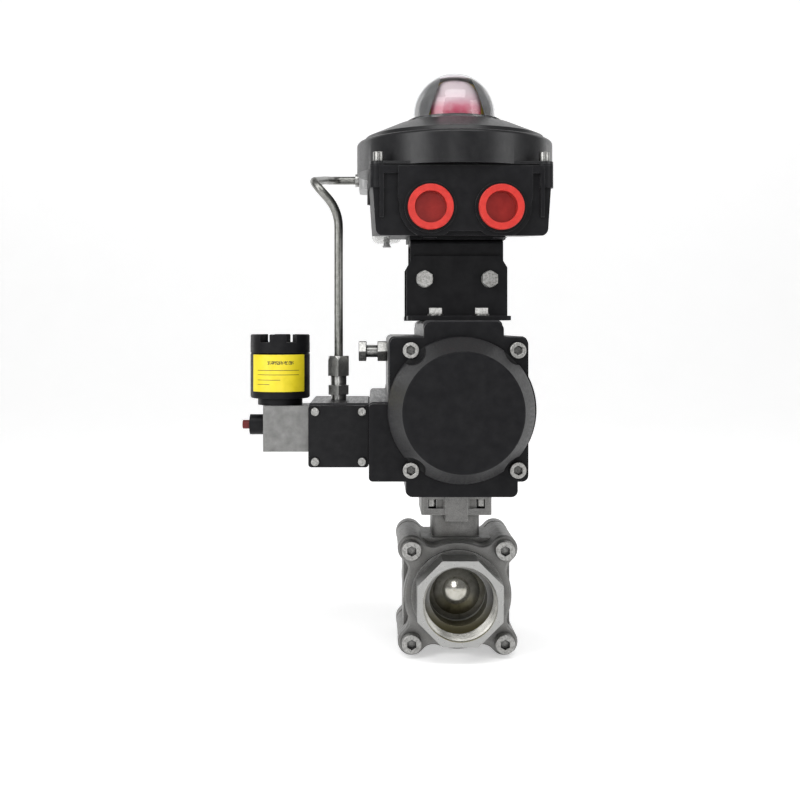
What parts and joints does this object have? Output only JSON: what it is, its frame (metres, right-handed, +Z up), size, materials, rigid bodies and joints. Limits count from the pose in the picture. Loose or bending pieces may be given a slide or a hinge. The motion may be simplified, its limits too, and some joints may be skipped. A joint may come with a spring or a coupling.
{
  "type": "pneumatic valve actuator",
  "caption": "Quarter-turn rack-and-pinion actuator on a threaded ball valve, with a domed switch box, a solenoid valve, an air tube and a small filter regulator.",
  "frame": {"origin": "centre of the front threaded pipe port's mouth", "axes": "+Z up along the stem, +Y along the pipe from the front port to the rear port, +X to the right seen from the front"},
  "size_m": [0.2106, 0.23, 0.3905],
  "materials": {
    "valve_body": "cast stainless",
    "port_cap_front": "cast stainless",
    "port_cap_rear": "cast stainless",
    "valve_seals": "white sealing plastic",
    "seat_rings": "white sealing plastic",
    "body_bolts": "machined stainless",
    "body_nuts": "machined stainless",
    "gland_nut": "machined stainless",
    "pad_bolts": "machined stainless",
    "ball": "polished",
    "valve_stem": "machined stainless",
    "pinion_shaft": "machined",
    "stop_cam": "machined",
    "actuator_body": "black coated aluminium",
    "end_cover_front": "black coated aluminium",
    "end_cover_rear": "black coated aluminium",
    "end_cover_screws": "machined stainless",
    "piston_front": "die cast",
    "piston_rear": "die cast",
    "springs_front": "spring steel",
    "springs_rear": "spring steel",
    "pinion_bearings": "bearing plastic",
    "stop_bolts": "machined stainless",
    "bracket_foot_front": "black powder coat",
    "bracket_foot_rear": "black powder coat",
    "bracket_bridge": "black powder coat",
    "foot_bolts": "machined stainless",
    "side_bolts": "machined stainless",
    "box_bolts": "machined stainless",
    "switch_housing": "black powder coat",
    "switch_cover": "black powder coat",
    "cover_gaskets": "black rubber",
    "cover_screws": "machined stainless",
    "entry_plugs": "red moulded plastic",
    "indicator_dome": "clear moulded plastic",
    "indicator_mask": "black",
    "indicator_red": "red",
    "indicator_yellow": "yellow",
    "switch_shaft": "machined stainless",
    "switch_cams": "red plastic",
    "switch_units": "black plastic",
    "spool_valve_body": "clear anodised",
    "spool_covers": "black plastic",
    "spool_cover_screws": "zinc plated",
    "spool": "hard anodised",
    "pilot_block": "clear anodised",
    "override_collar": "black plastic",
    "override_button": "dark red plastic",
    "coil_housing": "black coat",
    "coil_cap": "black coat",
    "armature": "machined",
    "label_plate": "yellow label",
    "tube_fittings": "machined stainless",
    "tube_nut": "machined stainless",
    "supply_tube": "drawn stainless tube",
    "regulator_body": "satin",
    "regulator_knob": "black plastic",
    "filter_bowl": "satin",
    "drain_valve": "machined brass",
    "regulator_bracket": "black powder coat"
  },
  "bodies": {
    "housing": {"valve_body": "valve_body", "port_cap_front": "port_cap_front", "port_cap_rear": "port_cap_rear", "valve_seals": "valve_seals", "seat_rings": "seat_rings", "body_bolts": "body_bolts", "body_nuts": "body_nuts", "gland_nut": "gland_nut", "pad_bolts": "pad_bolts", "actuator_body": "actuator_body", "end_cover_front": "end_cover_front", "end_cover_rear": "end_cover_rear", "end_cover_screws": "end_cover_screws", "springs_front": "springs_front", "springs_rear": "springs_rear", "pinion_bearings": "pinion_bearings", "stop_bolts": "stop_bolts", "bracket_foot_front": "bracket_foot_front", "bracket_foot_rear": "bracket_foot_rear", "bracket_bridge": "bracket_bridge", "foot_bolts": "foot_bolts", "side_bolts": "side_bolts", "box_bolts": "box_bolts", "switch_housing": "switch_housing", "switch_cover": "switch_cover", "cover_gaskets": "cover_gaskets", "cover_screws": "cover_screws", "entry_plugs": "entry_plugs", "indicator_dome": "indicator_dome", "indicator_mask": "indicator_mask", "switch_units": "switch_units", "spool_valve_body": "spool_valve_body", "spool_covers": "spool_covers", "spool_cover_screws": "spool_cover_screws", "pilot_block": "pilot_block", "override_collar": "override_collar", "coil_housing": "coil_housing", "coil_cap": "coil_cap", "label_plate": "label_plate", "tube_fittings": "tube_fittings", "tube_nut": "tube_nut", "supply_tube": "supply_tube", "regulator_body": "regulator_body", "filter_bowl": "filter_bowl", "regulator_bracket": "regulator_bracket"},
    "drive_train": {"ball": "ball", "valve_stem": "valve_stem", "pinion_shaft": "pinion_shaft", "stop_cam": "stop_cam", "switch_shaft": "switch_shaft", "switch_cams": "switch_cams", "indicator_red": "indicator_red", "indicator_yellow": "indicator_yellow"},
    "front_piston": {"piston_front": "piston_front"},
    "rear_piston": {"piston_rear": "piston_rear"},
    "button": {"override_button": "override_button"},
    "valve_spool": {"spool": "spool"},
    "coil_armature": {"armature": "armature"},
    "pressure_knob": {"regulator_knob": "regulator_knob"},
    "drain": {"drain_valve": "drain_valve"}
  },
  "joints": [
    {"name": "valve_turn", "type": "hinge", "parent": "housing", "child": "drive_train", "pos_m": [0, 0.06, 0], "axis": [0, 0, 1], "range_deg": [0, 90]},
    {"name": "front_piston_slide", "type": "slide", "parent": "housing", "child": "front_piston", "axis": [0, -1, 0], "range_m": [0, 0.022], "deforming": ["springs_front"]},
    {"name": "rear_piston_slide", "type": "slide", "parent": "housing", "child": "rear_piston", "axis": [0, 1, 0], "range_m": [0, 0.022], "deforming": ["springs_rear"]},
    {"name": "override_press", "type": "slide", "parent": "housing", "child": "button", "axis": [1, 0, 0], "range_m": [0, 0.003], "stiffness_N_per_m": 800},
    {"name": "spool_shift", "type": "slide", "parent": "housing", "child": "valve_spool", "axis": [0, 1, 0], "range_m": [0, 0.004], "stiffness_N_per_m": 800},
    {"name": "armature_lift", "type": "slide", "parent": "housing", "child": "coil_armature", "axis": [0, 0, 1], "range_m": [0, 0.002], "stiffness_N_per_m": 800, "springref_m": -0.001},
    {"name": "knob_turn", "type": "hinge", "parent": "housing", "child": "pressure_knob", "pos_m": [-0.0455, 0.152, 0.3], "axis": [0, 0, 1], "continuous": true},
    {"name": "drain_press", "type": "slide", "parent": "housing", "child": "drain", "axis": [0, 0, 1], "range_m": [0, 0.0015], "stiffness_N_per_m": 300, "springref_m": -0.001}
  ],
  "couplings": [
    {"joint": "front_piston_slide", "follows": "valve_turn", "m_per_rad": 0.014},
    {"joint": "rear_piston_slide", "follows": "valve_turn", "m_per_rad": 0.014}
  ]
}
